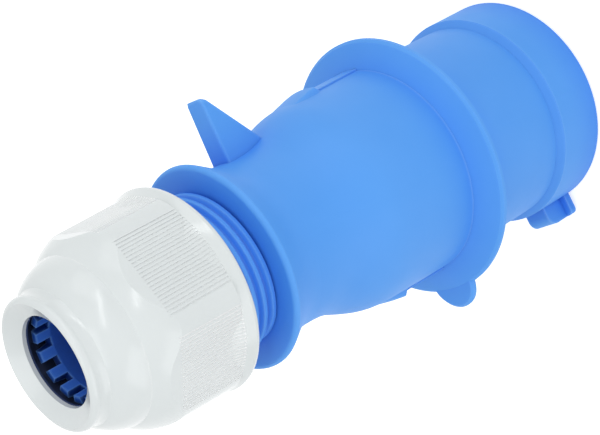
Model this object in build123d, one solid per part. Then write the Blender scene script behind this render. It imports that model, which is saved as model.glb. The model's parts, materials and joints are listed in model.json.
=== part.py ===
"""Industrial pin and sleeve plug: 16 A, two poles and earth, with a cable gland.

Units are millimetres. The plug stands on the open rim of its sleeve: the origin is the
centre of that rim, +Z runs along the axis to the cable gland, +Y to the fin.
"""
import os
from math import cos, radians, sin, tan

from build123d import *

# Front sleeve: the tube that goes into the socket
sleeve_r = 21.5
sleeve_draft = 0.15
sleeve_back_r = 20.0
mouth_r = 19.4
cavity_r = 17.9
mouth_depth = 9.6
step_front_z = 10.9
step_back_z = 12.0
rim_chamfer = 0.5

# Flange, retaining lug and key of the front sleeve; they stand a few degrees off the fin's line
key_turn = 4.0
flange_r = 25.7
flange_front_z = 34.3
flange_edge_z = 35.9
flange_back_z = 37.6
flange_chamfer = 0.5
lug_reach = 29.4
lug_width = 11.0
lug_chamfer = 0.5
key_reach = 25.3
key_width = 5.4
key_plate_width = 8.6
key_front_z = 0.8
key_plate_z = 2.4
key_back_z = 7.6
key_round = 2.2

# Spigot behind the flange, its latch barbs and the carrier seat inside it
spigot_r = 17.6
spigot_bore_r = 16.6
spigot_back_z = 54.6
seat_z = 42.6
seat_lip_r = 15.2
seat_lip_depth = 1.6
barb_root_depth = 0.6
barb_reach = 18.5
barb_width = 5.0
barb_front_z = 47.2
barb_back_z = 50.8

# Contacts: pin circle, pins, shoulders and pillar terminals
pin_circle_r = 9.5
pole_r = 2.5
earth_r = 3.5
pole_tip_z = 7.1
earth_tip_z = 4.6
tip_chamfer = 0.9
root_step = 0.3
shoulder_margin = 1.3
shoulder_depth = 2.4
pillar_r = 4.2
pillar_back_z = 64.6
wire_bore_r = 2.1
wire_bore_depth = 9.0
pin_places = {"earth_pin": 270.0, "line_pin": 30.0, "neutral_pin": 150.0}

# Carrier and retainer plate
carrier_clearance = 0.1
carrier_depth = 7.0
retainer_depth = 3.4
retainer_margin = 0.6
pin_clearance = 0.05

# Screws
screw_r = 2.0
terminal_screw_z = 59.1
terminal_screw_reach = 3.4
retainer_screw_r = 1.4
retainer_head_r = 2.6
retainer_head_depth = 1.8
retainer_screw_depth = 7.6
retainer_screw_circle_r = 10.6
retainer_screw_places = (90.0, 210.0, 330.0)
slot_width = 0.8
slot_depth = 0.9

# Rear housing: barrel, waist, flared collar and neck
housing_wall = 2.4
barrel_r = 20.4
barrel_end_z = 50.6
barrel_end_r = 20.1
barrel_slope = 0.04
shoulder_z = 57.1
shoulder_r = 19.6
slope_z = 61.8
slope_r = 18.0
waist_z = 72.6
waist_r = 15.85
flare_slope = 0.5
collar_r = 19.1
collar_z = 81.1
collar_face_z = 82.0
collar_round = 0.85
neck_r = 13.6
neck_end_z = 99.4
neck_chamfer = 0.6
neck_bore_r = 11.6
seal_floor_z = 76.6
cable_hole_r = 8.8
web_depth = 2.6
web_chamfer = 1.0
hollow_lead = 0.9
waist_lead = 6.0
spigot_clearance = 0.1
spigot_end_gap = 0.4

# Fin and latch bumps of the rear housing
fin_back_z = 72.2
fin_tip_r = 27.7
fin_foot_r = 14.5
fin_tip_length = 0.7
fin_foot_length = 10.5
fin_tip_width = 3.5
fin_foot_width = 4.4
fin_chamfer = 0.3
fin_tip_chamfer = 0.45
bump_arc = 19.0
bump_start_z = 55.8
bump_knee_z = 50.7
bump_knee_r = 20.85
bump_end_z = 48.2
bump_r = 21.2
bump_round = 0.6
pocket_clearance = 0.4

# Cable seal
seal_r = 11.5
seal_bore_r = 7.6
seal_back_z = 86.1
seal_funnel_r = 9.6
seal_funnel_depth = 3.0
seal_groove_depth = 0.8

# Gland nut: skirt, six-sided grip, and the turned shoulder, dome and mouth ring in front of it
nut_turn = 5.5
nut_sides = 6
nut_back_z = 89.8
nut_end_z = 118.6
skirt_r = 18.85
skirt_round = 0.8
skirt_front_z = 90.8
skirt_mid_r = 18.05
skirt_mid_z = 92.6
skirt_end_r = 17.2
skirt_end_z = 95.6
grip_back_z = 94.0
grip_foot_z = 92.5
grip_back_flat = 17.3
grip_taper = 1.5
grip_corner_round = 9.2
nose_r = 18.5
nose_z = 103.0
nose_mid_r = 17.55
nose_mid_z = 106.4
dome_r = 15.2
dome_z = 109.9
dome_mid_r = 14.4
dome_mid_z = 112.5
dome_end_r = 12.1
dome_end_z = 115.4
ring_r = 11.75
ring_z = 117.2
ring_crest_r = 10.9
ring_bulge = 0.3
cable_bore_r = 8.1
cable_bore_back_z = 115.8
cable_bore_front_z = 116.9
nut_bore_r = 15.0
nut_bore_chamfer = 0.6

# Grip grooves of the nut, with fine ribs left standing between them
grooves_per_panel = 23
groove_pitch = 0.665
groove_width = 0.3
groove_depth = 0.14
groove_back_z = 92.4
groove_front_z = 105.2
groove_cutter_depth = 1.2

# Clamp basket: keyed guide ring, captive flange and fingers
basket_back_z = 90.6
guide_clearance = 0.08
basket_bore_r = 8.6
flange_clearance = 0.06
basket_flange_r = 13.4
basket_flange_z = 105.0
basket_flange_depth = 1.5
captive_lip_r = 12.9
captive_lip_depth = 1.0
finger_count = 14
finger_foot_r = 10.9
finger_root_z = 106.8
finger_tip_r = 8.5
finger_tip_z = 114.8
finger_land_r = 7.3
finger_land_z = 112.0
finger_slot_z = 112.2
finger_slot_width = 1.5
finger_turn = -4.6
finger_gap = 0.7
pocket_r = 10.6
pocket_z = 114.6
guide_key_count = 2
guide_key_width = 3.0
guide_key_height = 0.8
guide_slot_clearance = 0.12

# How far cutters and buried feet run past the face they meet, and how closely an edge is matched
overrun = 0.5
edge_tolerance = 0.01


def turned(points):
    """Solid of revolution about Z from (radius, height) points."""
    return revolve(Plane.XZ * make_face(Polyline(*points, close=True)), Axis.Z)


def turned_edges(edges):
    """Solid of revolution about Z from joined edges drawn as (radius, height)."""
    return revolve(Plane.XZ * make_face(edges), Axis.Z)


def rod(radius, low_z, high_z, x=0.0, y=0.0):
    """Cylinder along Z between two heights."""
    height = high_z - low_z
    return Pos(x, y, low_z + height / 2) * Cylinder(radius, height)


def block(width, low_y, high_y, low_z, high_z):
    """Box centred on the YZ plane between two depths and two heights."""
    depth = high_y - low_y
    height = high_z - low_z
    return Pos(0, low_y + depth / 2, low_z + height / 2) * Box(width, depth, height)


def on_circle(radius, angle):
    """Point on a circle about Z, by its angle from +X."""
    return radius * cos(radians(angle)), radius * sin(radians(angle))


def rounded_rim(part, rim_z, radius, rounding):
    """Fillet the circular edges of a turned part that lie at one height and radius."""
    def is_rim(edge):
        if edge.geom_type != GeomType.CIRCLE:
            return False
        return abs(edge.radius - radius) < edge_tolerance and abs(edge.center().Z - rim_z) < edge_tolerance
    return fillet([edge for edge in part.edges() if is_rim(edge)], rounding)


def make_key():
    """Key under the sleeve: a rounded bar with a wider plate at its front end."""
    foot_r = (mouth_r + sleeve_r) / 2
    bar = block(key_width, -key_reach, -foot_r, key_front_z, key_back_z)
    back_edge = bar.edges().filter_by(Axis.X).sort_by(Axis.Z)[-2:].sort_by(Axis.Y)[0]
    bar = fillet(back_edge, key_round)
    plate = block(key_plate_width, -key_reach, -foot_r, key_front_z, key_plate_z)
    plate = fillet(plate.edges().filter_by(Axis.Z).sort_by(Axis.Y)[:2], key_round / 2)
    return bar + plate


def make_lug():
    """Retaining lug: a tongue with a full round end, as thick as the flange edge."""
    half = lug_width / 2
    centre_y = half - lug_reach
    foot_y = -sleeve_back_r
    end = ThreePointArc((-half, centre_y), (0, -lug_reach), (half, centre_y))
    sides = Polyline((half, centre_y), (half, foot_y), (-half, foot_y), (-half, centre_y))
    tongue = extrude(make_face([end, sides]), flange_edge_z - flange_front_z)
    rims = [edge for edge in tongue.faces().filter_by(Axis.Z).edges() if edge.center().Y < foot_y - overrun]
    return Pos(0, 0, flange_front_z) * chamfer(rims, lug_chamfer)


def make_front_sleeve():
    shell = turned([
        (mouth_r, 0), (sleeve_r - rim_chamfer, 0), (sleeve_r, rim_chamfer),
        (sleeve_r - sleeve_draft, step_front_z), (sleeve_back_r, step_back_z),
        (sleeve_back_r, flange_front_z), (flange_r - flange_chamfer, flange_front_z),
        (flange_r, flange_front_z + flange_chamfer), (flange_r, flange_edge_z - flange_chamfer),
        (flange_r - flange_chamfer, flange_edge_z), (barrel_r, flange_back_z),
        (spigot_r, flange_back_z), (spigot_r, spigot_back_z),
        (spigot_bore_r, spigot_back_z), (spigot_bore_r, seat_z), (seat_lip_r, seat_z),
        (seat_lip_r, carrier_face_z()), (cavity_r, carrier_face_z()),
        (cavity_r, mouth_depth), (mouth_r, mouth_depth),
    ])
    barb_foot_r = spigot_r - barb_root_depth
    barb = Plane.YZ * make_face(Polyline(
        (barb_foot_r, barb_front_z), (barb_reach, barb_front_z),
        (spigot_r, barb_back_z), (barb_foot_r, barb_back_z), close=True))
    barb = extrude(barb, barb_width / 2, both=True)
    return shell + Rot(0, 0, key_turn) * (make_lug() + make_key()) + barb + Rot(0, 0, 180) * barb


def pin_radius(name):
    return earth_r if name == "earth_pin" else pole_r


def carrier_face_z():
    """Front face of the carrier, where the free part of the pins begins."""
    return seat_z - seat_lip_depth


def shoulder_front_z():
    """Pin shoulders sit in counterbores from the back of the carrier."""
    return seat_z + carrier_depth - shoulder_depth


def retainer_back_z():
    return seat_z + carrier_depth + retainer_depth


def pin_angle(name):
    return key_turn + pin_places[name]


def pillar_shoulder_r(name):
    return max(pin_radius(name), pillar_r) + shoulder_margin


def screw_points():
    """Places of the retainer screws, between the pins."""
    return [on_circle(retainer_screw_circle_r, key_turn + place) for place in retainer_screw_places]


def make_pin(name):
    radius = pin_radius(name)
    tip_z = earth_tip_z if name == "earth_pin" else pole_tip_z
    collar = pillar_shoulder_r(name)
    collar_back_z = shoulder_front_z() + shoulder_depth
    pin = turned([
        (0, tip_z), (radius - tip_chamfer, tip_z), (radius, tip_z + tip_chamfer),
        (radius, carrier_face_z()), (radius + root_step, carrier_face_z()),
        (radius + root_step, shoulder_front_z()), (collar, shoulder_front_z()),
        (collar, collar_back_z), (pillar_r, collar_back_z),
        (pillar_r, pillar_back_z), (0, pillar_back_z),
    ])
    pin -= rod(wire_bore_r, pillar_back_z - wire_bore_depth, pillar_back_z)
    pin -= Pos(pillar_r, 0, terminal_screw_z) * Rot(0, 90, 0) * Cylinder(screw_r, 2 * pillar_r)
    angle = pin_angle(name)
    x, y = on_circle(pin_circle_r, angle)
    return Pos(x, y, 0) * Rot(0, 0, angle) * pin


def make_contact_carrier():
    back_z = seat_z + carrier_depth
    disc = rod(spigot_bore_r - carrier_clearance, seat_z, back_z)
    hub_r = seat_lip_r - carrier_clearance
    disc += rod(hub_r, carrier_face_z(), seat_z)
    for name in pin_places:
        x, y = on_circle(pin_circle_r, pin_angle(name))
        disc -= rod(pin_radius(name) + root_step + pin_clearance, carrier_face_z(), back_z, x, y)
        disc -= rod(pillar_shoulder_r(name) + pin_clearance, shoulder_front_z(), back_z, x, y)
    for x, y in screw_points():
        disc -= rod(retainer_screw_r, retainer_back_z() - retainer_screw_depth, back_z, x, y)
    return disc


def make_pin_retainer():
    front_z = seat_z + carrier_depth
    plate = rod(spigot_bore_r - retainer_margin, front_z, retainer_back_z())
    for name in pin_places:
        x, y = on_circle(pin_circle_r, pin_angle(name))
        plate -= rod(pillar_r + pin_clearance, front_z, retainer_back_z(), x, y)
    for x, y in screw_points():
        plate -= rod(retainer_screw_r + pin_clearance, front_z, retainer_back_z(), x, y)
    return plate


def make_screw(shank_r, head_r, head_depth, length):
    """Slotted screw along Z with the top of its head at the origin."""
    screw = rod(head_r, -head_depth, 0) + rod(shank_r, -length, -head_depth)
    return screw - Pos(0, 0, -slot_depth / 2) * Box(2 * head_r, slot_width, slot_depth)


def make_retainer_screws():
    screw = make_screw(retainer_screw_r, retainer_head_r, retainer_head_depth,
                       retainer_head_depth + retainer_screw_depth)
    top_z = retainer_back_z() + retainer_head_depth
    return [Pos(x, y, top_z) * screw for x, y in screw_points()]


def make_terminal_screws():
    """Grub screws through the outer wall of each pillar terminal."""
    tip = pin_circle_r + wire_bore_r
    end = pin_circle_r + pillar_r + terminal_screw_reach - wire_bore_r
    screw = rod(screw_r, tip - end, 0)
    screw -= Pos(0, 0, -slot_depth / 2) * Box(2 * screw_r, slot_width, slot_depth)
    return [Rot(0, 0, pin_angle(name)) * Pos(end, 0, terminal_screw_z) * Rot(0, 90, 0) * screw
            for name in pin_places]


def housing_outline():
    """Outer edges of the housing from the flange to the collar rim, as (radius, height)."""
    barrel = Line((barrel_r, flange_back_z), (barrel_end_r, barrel_end_z))
    body = Spline((barrel_end_r, barrel_end_z), (shoulder_r, shoulder_z), (slope_r, slope_z),
                  (waist_r, waist_z), tangents=((-barrel_slope, 1), (0, 1)))
    flare = Spline((waist_r, waist_z), (collar_r, collar_z), tangents=((0, 1), (flare_slope, 1)))
    return barrel, body, flare


def make_housing_shell():
    barrel, body, flare = housing_outline()
    rest = Polyline(
        (collar_r, collar_z), (collar_r, collar_face_z), (neck_r, collar_face_z),
        (neck_r, neck_end_z - neck_chamfer), (neck_r - neck_chamfer, neck_end_z),
        (0, neck_end_z), (0, flange_back_z), (barrel_r, flange_back_z))
    solid = turned_edges([barrel, body, flare, rest])
    return rounded_rim(solid, collar_face_z, collar_r, collar_round)


def make_housing_hollow():
    """Space for the spigot, the wires, the cable hole and the neck bore, in one turned shape."""
    bore_r = spigot_r + spigot_clearance
    bore_end_z = spigot_back_z + spigot_end_gap
    web_z = seal_floor_z - web_depth
    waist_bore_r = waist_r - housing_wall
    return turned([
        (0, flange_back_z), (bore_r, flange_back_z), (bore_r, bore_end_z),
        (shoulder_r - housing_wall, bore_end_z), (shoulder_r - housing_wall, shoulder_z - hollow_lead),
        (slope_r - housing_wall, slope_z - hollow_lead), (waist_bore_r, waist_z - waist_lead),
        (waist_bore_r, web_z - web_chamfer), (cable_hole_r, web_z), (cable_hole_r, seal_floor_z),
        (neck_bore_r, seal_floor_z), (neck_bore_r, neck_end_z), (0, neck_end_z),
    ])


def make_fin():
    """Fin on top of the waist: upright back face, sloping front edge, thinner at the tip."""
    def section(radius, width, length):
        place = Plane(origin=(0, radius, fin_back_z - length / 2), x_dir=(1, 0, 0), z_dir=(0, 1, 0))
        return place * Rectangle(width, length)
    slope = (fin_foot_length - fin_tip_length) / (fin_tip_r - fin_foot_r)
    fin = loft([section(fin_foot_r, fin_foot_width, fin_foot_length),
                section(fin_tip_r - fin_tip_chamfer, fin_tip_width, fin_tip_length + slope * fin_tip_chamfer),
                section(fin_tip_r, fin_tip_width - 2 * fin_tip_chamfer, fin_tip_length)], ruled=True)
    long_edges = [edge for edge in fin.edges() if edge.length > fin_foot_length]
    return chamfer(long_edges, fin_chamfer)


def make_bump():
    """Latch bump: a ramp that rises towards the flange and ends in a rounded step."""
    foot_r = shoulder_r - housing_wall / 2
    ramp = make_face(Polyline(
        (foot_r, bump_end_z), (bump_r - bump_round, bump_end_z), (bump_r, bump_end_z + bump_round),
        (bump_knee_r, bump_knee_z), (shoulder_r, bump_start_z), (foot_r, bump_start_z), close=True))
    bump = revolve(Plane.XZ * ramp, Axis.Z, bump_arc)
    return Rot(0, 0, 90 - bump_arc / 2) * bump


def make_latch_pocket():
    gap = pocket_clearance
    return block(barb_width + 2 * gap, spigot_r - overrun, barb_reach + gap,
                 barb_front_z - gap, barb_back_z + gap)


def make_guide_keys(reach, width, low_z, high_z):
    """Bars across the neck bore that keep the basket from turning."""
    bar = Pos(0, 0, (low_z + high_z) / 2) * Box(2 * reach, width, high_z - low_z)
    keys = [Rot(0, 0, 180 * index / guide_key_count) * bar for index in range(guide_key_count)]
    return keys[0] + keys[1:]


def make_rear_housing():
    bump = make_bump()
    pocket = make_latch_pocket()
    housing = make_housing_shell() + make_fin() + bump + Rot(0, 0, 180) * bump
    housing = housing - make_housing_hollow() - pocket - Rot(0, 0, 180) * pocket
    slot_reach = neck_bore_r + guide_key_height + guide_slot_clearance
    slot_width_x = guide_key_width + 2 * guide_slot_clearance
    slots = make_guide_keys(slot_reach, slot_width_x, seal_back_z, neck_end_z)
    return housing - slots


def make_cable_seal():
    groove_z = (seal_floor_z + seal_back_z) / 2
    half = seal_groove_depth
    return turned([
        (seal_bore_r, seal_floor_z), (seal_r, seal_floor_z), (seal_r, groove_z - 2 * half),
        (seal_r - half, groove_z - half), (seal_r - half, groove_z + half), (seal_r, groove_z + 2 * half),
        (seal_r, seal_back_z), (seal_funnel_r, seal_back_z), (seal_bore_r, seal_back_z - seal_funnel_depth),
    ])


def make_clamp_basket():
    """Guide ring and captive flange with tapered fingers that end in a short round grip."""
    guide_r = neck_bore_r - guide_clearance
    flange_top_z = basket_flange_z + basket_flange_depth
    basket = turned([
        (basket_bore_r, basket_back_z), (guide_r, basket_back_z), (guide_r, basket_flange_z),
        (basket_flange_r, basket_flange_z), (basket_flange_r, flange_top_z), (finger_foot_r, flange_top_z),
        (finger_tip_r, finger_tip_z), (finger_land_r, finger_tip_z), (finger_land_r, finger_land_z),
        (basket_bore_r, finger_root_z),
    ])
    slot_top_z = finger_tip_z + overrun
    slot = Pos(0, 0, (finger_slot_z + slot_top_z) / 2) * Box(
        finger_slot_width, 2 * finger_foot_r, slot_top_z - finger_slot_z)
    for index in range(finger_count // 2):
        basket -= Rot(0, 0, finger_turn + 360 / finger_count * index) * slot
    keys = make_guide_keys(neck_bore_r + guide_key_height, guide_key_width, basket_back_z, basket_flange_z)
    return basket + (keys - rod(guide_r - overrun, basket_back_z, basket_flange_z))


def grip_section(inset, z):
    """Rounded six-sided outline of the grip at one height, drawn in by an inset."""
    drawn_in = inset + (z - grip_back_z) * tan(radians(grip_taper))
    outline = RegularPolygon(grip_back_flat - drawn_in, nut_sides, major_radius=False,
                             rotation=180 / nut_sides)
    return Pos(0, 0, z) * fillet(outline.vertices(), grip_corner_round - drawn_in)


def make_grip(inset):
    """Six-sided grip that narrows to the front, on a round skirt that sweeps out behind it."""
    grip = loft([grip_section(inset, grip_foot_z), grip_section(inset, nut_end_z)], ruled=True)
    rim = skirt_r - inset
    end = skirt_end_r - inset
    back = Polyline((end, skirt_end_z), (0, skirt_end_z), (0, nut_back_z), (rim, nut_back_z),
                    (rim, skirt_front_z))
    sweep = ThreePointArc((rim, skirt_front_z), (skirt_mid_r - inset, skirt_mid_z), (end, skirt_end_z))
    return grip + turned_edges([back, sweep])


def make_nose():
    """Turned shape that bounds the nut: shoulder over the grip, dome and mouth ring."""
    neck_z = (dome_end_z + ring_z) / 2
    crest_mid = (ring_r + ring_crest_r) / 2 + ring_bulge, (ring_z + nut_end_z) / 2 + ring_bulge
    shoulder = ThreePointArc((nose_r, nose_z), (nose_mid_r, nose_mid_z), (dome_r, dome_z))
    dome = ThreePointArc((dome_r, dome_z), (dome_mid_r, dome_mid_z), (dome_end_r, dome_end_z))
    ring_neck = ThreePointArc((dome_end_r, dome_end_z), (ring_r, neck_z), (ring_r, ring_z))
    crest = ThreePointArc((ring_r, ring_z), crest_mid, (ring_crest_r, nut_end_z))
    wide_r = 2 * skirt_r
    rest = Polyline((ring_crest_r, nut_end_z), (cable_bore_r, cable_bore_front_z), (0, cable_bore_front_z),
                    (0, nut_back_z), (wide_r, nut_back_z), (wide_r, nose_z), (nose_r, nose_z))
    return turned_edges([shoulder, dome, ring_neck, crest, rest])


def make_grip_grooves():
    """Fine parallel grooves of even depth on each flat, which leave the grip ribs standing."""
    length = groove_front_z - groove_back_z
    cutter = Pos(grip_back_flat, 0, groove_back_z + length / 2) * Box(
        2 * groove_cutter_depth, groove_width, length)
    first = -groove_pitch * (grooves_per_panel - 1) / 2
    cutters = [Rot(0, 0, side * 360 / nut_sides) * Pos(0, first + index * groove_pitch, 0) * cutter
               for side in range(nut_sides) for index in range(grooves_per_panel)]
    return Compound(cutters) - make_grip(groove_depth)


def make_nut_hollow():
    """Thread bore, captive lip, flange groove, pocket round the fingers and cable bore."""
    gap = flange_clearance
    lip_top_z = basket_flange_z - gap
    lip_low_z = lip_top_z - captive_lip_depth
    groove_top_z = basket_flange_z + basket_flange_depth + gap
    return turned([
        (0, nut_back_z), (nut_bore_r + nut_bore_chamfer, nut_back_z),
        (nut_bore_r, nut_back_z + nut_bore_chamfer),
        (nut_bore_r, lip_low_z), (captive_lip_r, lip_low_z), (captive_lip_r, lip_top_z),
        (basket_flange_r + gap, lip_top_z), (basket_flange_r + gap, groove_top_z),
        (finger_foot_r + finger_gap, groove_top_z), (pocket_r, pocket_z),
        (cable_bore_r, cable_bore_back_z), (cable_bore_r, nut_end_z), (0, nut_end_z),
    ])


def make_gland_nut():
    grip = rounded_rim(make_grip(0), nut_back_z, skirt_r, skirt_round)
    nut = (grip & make_nose()) - make_nut_hollow() - make_grip_grooves()
    return Rot(0, 0, 90 - nut_turn) * nut


def make_all():
    parts = {
        "front_sleeve": make_front_sleeve(),
        "contact_carrier": make_contact_carrier(),
        "pin_retainer": make_pin_retainer(),
        "retainer_screws": Compound(make_retainer_screws()),
        "terminal_screws": Compound(make_terminal_screws()),
        "rear_housing": make_rear_housing(),
        "cable_seal": make_cable_seal(),
        "clamp_basket": make_clamp_basket(),
        "gland_nut": make_gland_nut(),
    }
    for name in pin_places:
        parts[name] = make_pin(name)
    return parts


os.makedirs("parts", exist_ok=True)
for node, shape in make_all().items():
    export_step(shape, f"parts/{node}.step")
    print(node, round(shape.volume), "mm3", len(shape.solids()), "solids")
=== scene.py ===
import json
from math import cos, pi, sin

import bmesh
import bpy
from mathutils import Matrix, Vector


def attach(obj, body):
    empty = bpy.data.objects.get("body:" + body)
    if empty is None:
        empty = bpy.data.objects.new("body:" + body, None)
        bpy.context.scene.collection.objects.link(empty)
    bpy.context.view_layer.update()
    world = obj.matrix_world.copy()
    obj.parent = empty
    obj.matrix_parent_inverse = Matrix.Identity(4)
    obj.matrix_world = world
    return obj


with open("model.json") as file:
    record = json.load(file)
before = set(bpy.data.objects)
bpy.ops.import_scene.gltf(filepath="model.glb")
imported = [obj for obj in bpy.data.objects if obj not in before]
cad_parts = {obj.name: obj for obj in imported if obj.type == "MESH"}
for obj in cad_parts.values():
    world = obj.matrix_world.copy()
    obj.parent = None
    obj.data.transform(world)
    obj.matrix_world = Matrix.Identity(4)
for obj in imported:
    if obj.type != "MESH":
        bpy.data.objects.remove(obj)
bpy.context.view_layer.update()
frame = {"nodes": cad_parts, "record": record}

MM = 0.001
DEGREE = pi / 180

# Thread on the neck: a right-handed ridge with sloping flanks and a flat crest with eased corners.
# The phase is in turns.
THREAD_PITCH = 2.0 * MM
THREAD_START_Z = 82.2 * MM
THREAD_END_Z = 98.0 * MM
THREAD_ROOT_R = 13.5 * MM
THREAD_CREST_R = 14.7 * MM
THREAD_PHASE = 0.715
THREAD_STEPS_PER_TURN = 96
THREAD_FADE_STEPS = 16
THREAD_HALF_WIDTH = 0.95 * MM
# Across the ridge, as shares of its half width, and up it, as shares of its height
THREAD_PROFILE = ((-1.0, 0.0), (-0.5, 0.80), (-0.42, 0.94), (-0.3, 1.0),
                  (0.3, 1.0), (0.42, 0.94), (0.5, 0.80), (1.0, 0.0))

# Latch tongues: a low strip from the flange to each latch bump, and soft flanks beside the bump.
# Angles and arcs are degrees.
TONGUE_ANGLES = (90.0, 270.0)
TONGUE_HALF_ARC = 9.5
TONGUE_FLANK_ARC = 13.5
TONGUE_RISE = 0.35 * MM
TONGUE_COVER = 0.03 * MM
TONGUE_SINK = 0.15 * MM
TONGUE_DEPTH = 1.0 * MM
TONGUE_STEP_ARC = 0.25
TONGUE_STEP_Z = 0.2 * MM
TONGUE_END_STEP = 0.01 * MM
# Heights and radii, in millimetres, of the housing that the tongues lie on and of its latch bumps
HOUSING_OUTLINE = ((37.6, 20.4), (50.6, 20.1), (52.2, 20.02), (53.8, 19.91), (55.4, 19.78), (57.1, 19.6))
BUMP_OUTLINE = ((48.2, 20.6), (48.8, 21.2), (50.7, 20.85), (55.8, 19.6))

# Fin: a broader skin with a rounder tip over the housing's fin. Each section has its distance from the
# axis, its two sides and its low end, all in millimetres like the back end.
FIN_SECTIONS = ((14.5, -2.25, 2.85, 61.6), (27.1, -1.80, 2.75, 71.0), (27.69, -1.38, 1.90, 71.45))
FIN_BACK_Z = 72.25
FIN_ROUND = 0.3 * MM
FIN_ROUND_STEPS = 3
FIN_ROUND_ANGLE = 0.35

# Edges sharper than this, in radians, stay crisp when a node is shaded smooth
CREASE_ANGLE = 0.86

# Camera, from the perspective of the photographed plug
CAMERA_PLACE = Vector((213.573, 32.795, 223.586)) * MM
CAMERA_RIGHT = Vector((0.59087, -0.40796, -0.69602))
CAMERA_UP = Vector((0.16321, 0.90533, -0.39209))
CAMERA_BACK = CAMERA_RIGHT.cross(CAMERA_UP)
CAMERA_LENS = 90.636
CAMERA_SENSOR_WIDTH = 36.0
CAMERA_CLIP_START = 10.0 * MM

# Painted shade and light: blue painted shade in inner corners and hollows and pale blue painted
# highlight on outer edges of body and basket, white painted light in the nut's grooves, deep painted
# shade in its pocket
CORNER_SHADE_BLUE = (0.004, 0.030, 0.200)
HOLLOW_SHADE_BLUE = (0.015, 0.170, 0.850)
EDGE_HIGHLIGHT_BLUE = (0.300, 0.600, 1.000)
WHITE = (1.0, 1.0, 1.0)
DEEP_SHADE = (0.050, 0.070, 0.150)

# Soft lights: name, direction from the plug along the camera's right, up and back, size, and watts
LIGHTS = (("key", (-0.35, 0.85, 0.55), (0.40, 0.40), 0.50),
          ("strip", (-0.13, 0.45, 0.88), (0.06, 0.55), 0.55),
          ("side", (0.63, -0.59, 0.51), (0.50, 0.50), 1.15),
          ("low", (-0.60, -0.40, 0.70), (0.40, 0.40), 0.65))
LIGHT_TARGET = Vector((0.0, 0.0, 60.0)) * MM
LIGHT_DISTANCE = 0.60
WORLD_LIGHT = 0.71

# Floor, just under the rim that the plug stands on; the glow makes it read as white
FLOOR_HALF = 3.0
FLOOR_DROP = 0.2 * MM
FLOOR_COLOUR = (0.80, 0.80, 0.80)
FLOOR_GLOW = 0.62

# Looks by material slot: two close tones, the roughness range, whether it is metal, and the scale and
# height of the surface grain. The plastics add the tone, share and reach of their painted shade in
# hollows and inner corners and of their painted highlight on outer edges. The nut adds the share by
# which the grooves on some panels go further to its painted groove light, and the tone of the painted
# shade in its pocket.
LOOKS = {
    "body_blue": {"tones": ((0.064, 0.296, 0.785), (0.079, 0.319, 0.815)), "rough": (0.52, 0.62),
                  "metal": 0.0, "grain": 1400.0, "height": 0.03 * MM,
                  # Painted shade in hollows and inner corners, and a painted highlight on outer edges
                  "hollow_shade": (HOLLOW_SHADE_BLUE, 0.75, 8.0 * MM), "painted_corner": (CORNER_SHADE_BLUE, 0.35, 0.7 * MM),
                  "edge_highlight": (EDGE_HIGHLIGHT_BLUE, 0.60, 0.6 * MM)},
    "nut_grey": {"tones": ((0.645, 0.686, 0.690), (0.676, 0.718, 0.722)), "rough": (0.15, 0.22),
                 "metal": 0.0, "grain": 1400.0, "height": 0.02 * MM,
                 # Painted light in the grooves that lifts their shade, more on the panels away from the
                 # crisp one
                 "painted_corner": (WHITE, 0.55, 0.3 * MM), "painted_groove_light": 1.5, "pocket": DEEP_SHADE},
    "basket_blue": {"tones": ((0.045, 0.170, 0.660), (0.060, 0.200, 0.740)), "rough": (0.20, 0.30),
                    "metal": 0.0, "grain": 1600.0, "height": 0.02 * MM,
                    # Painted shade round the fingers and in inner corners, and a painted highlight on
                    # outer edges
                    "painted_corner": (CORNER_SHADE_BLUE, 1.6, 4.0 * MM), "edge_highlight": (EDGE_HIGHLIGHT_BLUE, 0.40, 0.45 * MM)},
    "carrier_grey": {"tones": ((0.085, 0.095, 0.110), (0.120, 0.130, 0.145)), "rough": (0.45, 0.60),
                     "metal": 0.0, "grain": 1800.0, "height": 0.03 * MM},
    "pin_brass": {"tones": ((0.640, 0.470, 0.220), (0.780, 0.620, 0.340)), "rough": (0.22, 0.36),
                  "metal": 1.0, "grain": 2600.0, "height": 0.01 * MM},
    "screw_steel": {"tones": ((0.480, 0.490, 0.510), (0.620, 0.630, 0.640)), "rough": (0.28, 0.45),
                    "metal": 1.0, "grain": 2600.0, "height": 0.01 * MM},
    "seal_rubber": {"tones": ((0.022, 0.022, 0.024), (0.040, 0.040, 0.042)), "rough": (0.60, 0.80),
                    "metal": 0.0, "grain": 2200.0, "height": 0.04 * MM},
}
# Scale and detail of the noise behind tone and gloss, and the detail of the grain
TONE_SCALE = 45.0
TONE_DETAIL = 3.0
TONE_RANGE = (0.3, 0.7)
GLOSS_SCALE = 260.0
GLOSS_DETAIL = 4.0
GRAIN_DETAIL = 2.0
GRAIN_STRENGTH = 0.25
NEARNESS_SAMPLES = 8

# Pocket of the nut behind its lip, round the clamp fingers, which stays in deep shade.
# The radius is the one at the end height, and it grows below that by the taper.
POCKET_R = 10.8 * MM
POCKET_TAPER = 0.3
POCKET_LOW_Z = 104.0 * MM
POCKET_END_Z = 114.6 * MM
POCKET_HIGH_Z = 116.15 * MM

# Grip panel of the nut whose grooves get no extra painted light and stay crisp, and half the arc that it
# takes up
CRISP_PANEL_ANGLE = 24.5 * DEGREE
HALF_PANEL_ARC = 30.0 * DEGREE


def feed(tree, node, values):
    """Set a node's inputs in their order, each to a plain value or to another node's output."""
    for socket, value in zip(node.inputs, values):
        if isinstance(value, bpy.types.NodeSocket):
            tree.links.new(value, socket)
        else:
            socket.default_value = value


def maths(tree, operation, *values, clamp=False):
    node = tree.nodes.new("ShaderNodeMath")
    node.operation = operation
    node.use_clamp = clamp
    feed(tree, node, values)
    return node.outputs["Value"]


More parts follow.
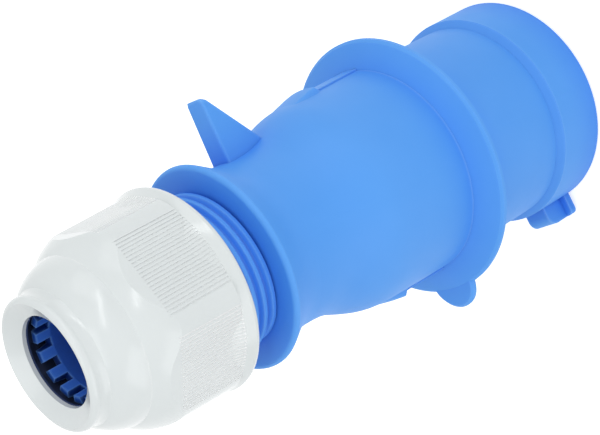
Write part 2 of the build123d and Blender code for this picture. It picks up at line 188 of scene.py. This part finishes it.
def vector_maths(tree, operation, *values):
    node = tree.nodes.new("ShaderNodeVectorMath")
    node.operation = operation
    feed(tree, node, values)
    return node.outputs["Value" if operation in ("LENGTH", "DOT_PRODUCT") else "Vector"]


def noise(tree, coords, scale, detail):
    """Noise over the object's own coordinates."""
    node = tree.nodes.new("ShaderNodeTexNoise")
    node.inputs["Scale"].default_value = scale
    node.inputs["Detail"].default_value = detail
    tree.links.new(coords, node.inputs["Vector"])
    return node.outputs["Fac"]


def nearness(tree, reach, inside):
    """How much other surface lies within reach: in front for inner corners, behind for outer edges."""
    node = tree.nodes.new("ShaderNodeAmbientOcclusion")
    node.inside = inside
    node.only_local = inside
    node.samples = NEARNESS_SAMPLES
    node.inputs["Distance"].default_value = reach
    return maths(tree, "SUBTRACT", 1.0, node.outputs["AO"], clamp=True)


def tint(tree, colour, amount, share, target):
    """Move a colour towards a target, by a share of an amount from zero to one."""
    scaled = maths(tree, "MULTIPLY", amount, share, clamp=True)
    mix = tree.nodes.new("ShaderNodeMixRGB")
    feed(tree, mix, (scaled, colour, (*target, 1.0)))
    return mix.outputs["Color"]


def sideways(tree, coords):
    """Coordinates without their height along the plug."""
    return vector_maths(tree, "MULTIPLY", coords, (1.0, 1.0, 0.0))


def in_pocket(tree, coords):
    """One inside the nut's pocket, zero elsewhere."""
    radius = vector_maths(tree, "LENGTH", sideways(tree, coords))
    split = tree.nodes.new("ShaderNodeSeparateXYZ")
    tree.links.new(coords, split.inputs["Vector"])
    height = split.outputs["Z"]
    cone = maths(tree, "MULTIPLY_ADD", height, POCKET_TAPER, radius)
    within = maths(tree, "LESS_THAN", cone, POCKET_R + POCKET_TAPER * POCKET_END_Z)
    above = maths(tree, "GREATER_THAN", height, POCKET_LOW_Z)
    below = maths(tree, "LESS_THAN", height, POCKET_HIGH_Z)
    return maths(tree, "MULTIPLY", maths(tree, "MULTIPLY", within, above), below)


def on_painted_light_panels(tree, coords):
    """One on the nut's grip panels whose grooves get more painted light, zero on the two opposite ones,
    whose grooves stay crisp.
    """
    outwards = vector_maths(tree, "NORMALIZE", sideways(tree, coords))
    crisp = (cos(CRISP_PANEL_ANGLE), sin(CRISP_PANEL_ANGLE), 0.0)
    along = vector_maths(tree, "DOT_PRODUCT", outwards, crisp)
    return maths(tree, "LESS_THAN", maths(tree, "ABSOLUTE", along), cos(HALF_PANEL_ARC))


def make_material(slot, look):
    """Plastic, metal or rubber with soft tone changes, uneven gloss and a fine grain."""
    material = bpy.data.materials.new(slot)
    material.use_nodes = True
    tree = material.node_tree
    shader = tree.nodes["Principled BSDF"]
    shader.inputs["Metallic"].default_value = look["metal"]
    coords = tree.nodes.new("ShaderNodeTexCoord").outputs["Object"]

    ramp = tree.nodes.new("ShaderNodeValToRGB")
    for stop, position, tone in zip(ramp.color_ramp.elements, TONE_RANGE, look["tones"]):
        stop.position = position
        stop.color = (*tone, 1.0)
    tree.links.new(noise(tree, coords, TONE_SCALE, TONE_DETAIL), ramp.inputs["Fac"])
    colour = ramp.outputs["Color"]
    # Painted shade in hollows and inner corners, painted highlights on outer edges, and painted light in
    # the nut's grooves
    for place, inside in (("hollow_shade", False), ("painted_corner", False), ("edge_highlight", True)):
        if place in look:
            target, share, reach = look[place]
            near = nearness(tree, reach, inside)
            colour = tint(tree, colour, near, share, target)
            if place == "painted_corner" and "painted_groove_light" in look:
                painted_groove_light = maths(tree, "MULTIPLY", near, on_painted_light_panels(tree, coords))
                colour = tint(tree, colour, painted_groove_light, look["painted_groove_light"], target)
    if "pocket" in look:
        colour = tint(tree, colour, in_pocket(tree, coords), 1.0, look["pocket"])
    tree.links.new(colour, shader.inputs["Base Color"])

    gloss = tree.nodes.new("ShaderNodeMapRange")
    gloss.inputs["To Min"].default_value, gloss.inputs["To Max"].default_value = look["rough"]
    tree.links.new(noise(tree, coords, GLOSS_SCALE, GLOSS_DETAIL), gloss.inputs["Value"])
    tree.links.new(gloss.outputs["Result"], shader.inputs["Roughness"])

    grain = tree.nodes.new("ShaderNodeBump")
    grain.inputs["Strength"].default_value = GRAIN_STRENGTH
    grain.inputs["Distance"].default_value = look["height"]
    tree.links.new(noise(tree, coords, look["grain"], GRAIN_DETAIL), grain.inputs["Height"])
    tree.links.new(grain.outputs["Normal"], shader.inputs["Normal"])
    return material


def make_smoother():
    """Geometry nodes that shade a node smooth and keep its sharp edges crisp."""
    tree = bpy.data.node_groups.new("smooth_by_angle", "GeometryNodeTree")
    tree.interface.new_socket("Geometry", in_out="INPUT", socket_type="NodeSocketGeometry")
    tree.interface.new_socket("Geometry", in_out="OUTPUT", socket_type="NodeSocketGeometry")
    start = tree.nodes.new("NodeGroupInput")
    end = tree.nodes.new("NodeGroupOutput")
    faces = tree.nodes.new("GeometryNodeSetShadeSmooth")
    edges = tree.nodes.new("GeometryNodeSetShadeSmooth")
    edges.domain = "EDGE"
    edges.inputs["Shade Smooth"].default_value = False
    angle = tree.nodes.new("GeometryNodeInputMeshEdgeAngle")
    sharp = tree.nodes.new("FunctionNodeCompare")
    sharp.operation = "GREATER_THAN"
    sharp.inputs["B"].default_value = CREASE_ANGLE
    tree.links.new(start.outputs["Geometry"], faces.inputs["Geometry"])
    tree.links.new(faces.outputs["Geometry"], edges.inputs["Geometry"])
    tree.links.new(angle.outputs["Unsigned Angle"], sharp.inputs["A"])
    tree.links.new(sharp.outputs["Result"], edges.inputs["Selection"])
    tree.links.new(edges.outputs["Geometry"], end.inputs["Geometry"])
    return tree


def shade(piece, material, smoother):
    """Give a piece its material, smooth curves and flat faces that look flat."""
    piece.data.materials.clear()
    piece.data.materials.append(material)
    piece.modifiers.new("smooth", "NODES").node_group = smoother
    piece.modifiers.new("flat_faces_first", "WEIGHTED_NORMAL").keep_sharp = True


def add_object(name, data):
    item = bpy.data.objects.new(name, data)
    bpy.context.scene.collection.objects.link(item)
    return item


def add_mesh(name, points, faces):
    mesh = bpy.data.meshes.new(name)
    mesh.from_pydata(points, [], faces)
    mesh.update()
    return add_object(name, mesh)


def tube_faces(rings, width):
    """Faces of a closed tube through rings of points of the same width, with a cap at each end."""
    last = (rings - 1) * width
    faces = [tuple(range(width)), tuple(reversed(range(last, last + width)))]
    for ring in range(0, last, width):
        for column in range(width):
            after = (column + 1) % width
            faces.append((ring + column, ring + width + column, ring + width + after, ring + after))
    return faces


def make_thread():
    """Helical ridge round the neck, fading out at both ends."""
    turns = (THREAD_END_Z - THREAD_START_Z) / THREAD_PITCH
    steps = int(turns * THREAD_STEPS_PER_TURN)
    points = []
    for step in range(steps + 1):
        angle = 2 * pi * (step / THREAD_STEPS_PER_TURN + THREAD_PHASE)
        middle = THREAD_START_Z + THREAD_PITCH * step / THREAD_STEPS_PER_TURN
        fade = min(1.0, step / THREAD_FADE_STEPS, (steps - step) / THREAD_FADE_STEPS)
        for across, rise in THREAD_PROFILE:
            radius = THREAD_ROOT_R + (THREAD_CREST_R - THREAD_ROOT_R) * rise * fade
            height = middle + across * THREAD_HALF_WIDTH
            points.append((radius * cos(angle), radius * sin(angle), height))
    return add_mesh("neck_thread", points, tube_faces(steps + 1, len(THREAD_PROFILE)))


def outline_radius(outline, height):
    """Radius of an outline at a height, both in metres."""
    for (low_z, low_r), (high_z, high_r) in zip(outline, outline[1:]):
        if height <= high_z * MM:
            share = max(0.0, (height - low_z * MM) / ((high_z - low_z) * MM))
            return (low_r + (high_r - low_r) * share) * MM
    return outline[-1][1] * MM


def smooth_step(share):
    """Soft ramp from zero to one, level at both ends."""
    share = min(1.0, max(0.0, share))
    return share * share * (3.0 - 2.0 * share)


def tongue_radius(arc, height):
    """Outer radius of a latch tongue at an arc from its middle and a height."""
    ground = outline_radius(HOUSING_OUTLINE, height)
    foot = ground - TONGUE_SINK
    if height < BUMP_OUTLINE[0][0] * MM:
        return ground + TONGUE_RISE if abs(arc) <= TONGUE_HALF_ARC else foot
    top = max(outline_radius(BUMP_OUTLINE, height) + TONGUE_COVER, foot)
    down = smooth_step((abs(arc) - TONGUE_HALF_ARC) / (TONGUE_FLANK_ARC - TONGUE_HALF_ARC))
    return foot + (top - foot) * (1.0 - down)


def close_sheets(mesh, top, bottom):
    """Faces of a closed slab between two grids of points of the same size."""
    rows, columns = len(top), len(top[0])
    for sheet in (top, bottom):
        for row in range(rows - 1):
            for column in range(columns - 1):
                mesh.faces.new((sheet[row][column], sheet[row][column + 1],
                                sheet[row + 1][column + 1], sheet[row + 1][column]))
    for row in (0, rows - 1):
        for column in range(columns - 1):
            mesh.faces.new((top[row][column], top[row][column + 1],
                            bottom[row][column + 1], bottom[row][column]))
    for column in (0, columns - 1):
        for row in range(rows - 1):
            mesh.faces.new((top[row][column], top[row + 1][column],
                            bottom[row + 1][column], bottom[row][column]))


def make_tongues():
    """Two strips with soft flanks, laid on the housing from the flange over the latch bumps."""
    flange_z = HOUSING_OUTLINE[0][0] * MM
    bump_z = BUMP_OUTLINE[0][0] * MM
    bump_steps = int((BUMP_OUTLINE[-1][0] * MM - bump_z) / TONGUE_STEP_Z)
    heights = [flange_z, bump_z - TONGUE_END_STEP]
    heights += [bump_z + step * TONGUE_STEP_Z for step in range(bump_steps + 1)]
    half_steps = int(TONGUE_FLANK_ARC / TONGUE_STEP_ARC)
    arcs = [step * TONGUE_STEP_ARC for step in range(-half_steps, half_steps + 1)]
    mesh = bmesh.new()
    for middle in TONGUE_ANGLES:
        top, bottom = [], []
        for height in heights:
            buried = outline_radius(HOUSING_OUTLINE, height) - TONGUE_DEPTH
            for sheet, radii in ((top, [tongue_radius(arc, height) for arc in arcs]),
                                 (bottom, [buried] * len(arcs))):
                angles = [(middle + arc) * DEGREE for arc in arcs]
                sheet.append([mesh.verts.new((radius * cos(angle), radius * sin(angle), height))
                              for radius, angle in zip(radii, angles)])
        close_sheets(mesh, top, bottom)
    bmesh.ops.recalc_face_normals(mesh, faces=mesh.faces)
    data = bpy.data.meshes.new("latch_tongues")
    mesh.to_mesh(data)
    mesh.free()
    return add_object("latch_tongues", data)


def make_fin():
    """Broad fin with eased edges that stands on the waist."""
    points = []
    for distance, left, right, low_z in FIN_SECTIONS:
        ring = ((left, low_z), (right, low_z), (right, FIN_BACK_Z), (left, FIN_BACK_Z))
        points += [Vector((across, distance, along)) * MM for across, along in ring]
    fin = add_mesh("fin_skin", points, tube_faces(len(FIN_SECTIONS), len(ring)))
    rounded = fin.modifiers.new("rounded", "BEVEL")
    rounded.width = FIN_ROUND
    rounded.segments = FIN_ROUND_STEPS
    rounded.limit_method = "ANGLE"
    rounded.angle_limit = FIN_ROUND_ANGLE
    return fin


def placing(right, up, back, place):
    """World matrix of an object with these axes at this place."""
    return Matrix.Translation(place) @ Matrix((right, up, back)).transposed().to_4x4()


def make_camera():
    data = bpy.data.cameras.new("camera")
    data.lens = CAMERA_LENS
    data.sensor_fit = "HORIZONTAL"
    data.sensor_width = CAMERA_SENSOR_WIDTH
    data.clip_start = CAMERA_CLIP_START
    camera = add_object("camera", data)
    camera.matrix_world = placing(CAMERA_RIGHT, CAMERA_UP, CAMERA_BACK, CAMERA_PLACE)
    bpy.context.scene.camera = camera


def make_light(name, direction, size, power):
    """Soft light, upright in the camera's view and aimed at the plug."""
    data = bpy.data.lights.new(name, "AREA")
    data.shape = "RECTANGLE"
    data.size, data.size_y = size
    data.energy = power
    right, up, back = direction
    away = (CAMERA_RIGHT * right + CAMERA_UP * up + CAMERA_BACK * back).normalized()
    across = CAMERA_UP.cross(away).normalized()
    light = add_object(name, data)
    light.matrix_world = placing(across, away.cross(across), away, LIGHT_TARGET + away * LIGHT_DISTANCE)


def background_rays(tree):
    """One for rays that show the background: those of the camera, and those of gloss and glass."""
    path = tree.nodes.new("ShaderNodeLightPath")
    shown = path.outputs["Is Camera Ray"]
    for name in ("Is Glossy Ray", "Is Transmission Ray"):
        shown = maths(tree, "MAXIMUM", shown, path.outputs[name])
    return shown


def make_floor():
    """White floor that keeps the plug's soft shadow and reads as plain white elsewhere."""
    corners = [(x * FLOOR_HALF, y * FLOOR_HALF, -FLOOR_DROP)
               for x, y in ((-1, -1), (1, -1), (1, 1), (-1, 1))]
    floor = add_mesh("floor", corners, [(0, 1, 2, 3)])
    material = bpy.data.materials.new("floor")
    material.use_nodes = True
    tree = material.node_tree
    tree.nodes.remove(tree.nodes["Principled BSDF"])
    plain = tree.nodes.new("ShaderNodeBsdfDiffuse")
    plain.inputs["Color"].default_value = (*FLOOR_COLOUR, 1.0)
    glow = tree.nodes.new("ShaderNodeEmission")
    glow.inputs["Strength"].default_value = FLOOR_GLOW
    lifted = tree.nodes.new("ShaderNodeAddShader")
    feed(tree, lifted, (plain.outputs["BSDF"], glow.outputs["Emission"]))
    seen = tree.nodes.new("ShaderNodeMixShader")
    feed(tree, seen, (background_rays(tree), plain.outputs["BSDF"], lifted.outputs["Shader"]))
    tree.links.new(seen.outputs["Shader"], tree.nodes["Material Output"].inputs["Surface"])
    floor.data.materials.append(material)


def make_world():
    """White surroundings that light the plug more softly than they look."""
    world = bpy.data.worlds.new("studio")
    bpy.context.scene.world = world
    world.use_nodes = True
    tree = world.node_tree
    seen = tree.nodes["Background"]
    seen.inputs["Color"].default_value = (*WHITE, 1.0)
    soft = tree.nodes.new("ShaderNodeBackground")
    soft.inputs["Color"].default_value = (*WHITE, 1.0)
    soft.inputs["Strength"].default_value = WORLD_LIGHT
    mix = tree.nodes.new("ShaderNodeMixShader")
    feed(tree, mix, (background_rays(tree), soft.outputs["Background"], seen.outputs["Background"]))
    tree.links.new(mix.outputs["Shader"], tree.nodes["World Output"].inputs["Surface"])


materials = {slot: make_material(slot, look) for slot, look in LOOKS.items()}
smoother = make_smoother()
for part in frame["record"]["subparts"]:
    shade(frame["nodes"][part["node"]], materials[part["material_slot"]], smoother)

for piece in (make_thread(), make_tongues(), make_fin()):
    shade(piece, materials["body_blue"], smoother)
    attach(piece, "plug_body")

make_floor()
make_world()
make_camera()
for light in LIGHTS:
    make_light(*light)
bpy.context.scene.view_settings.view_transform = "Standard"
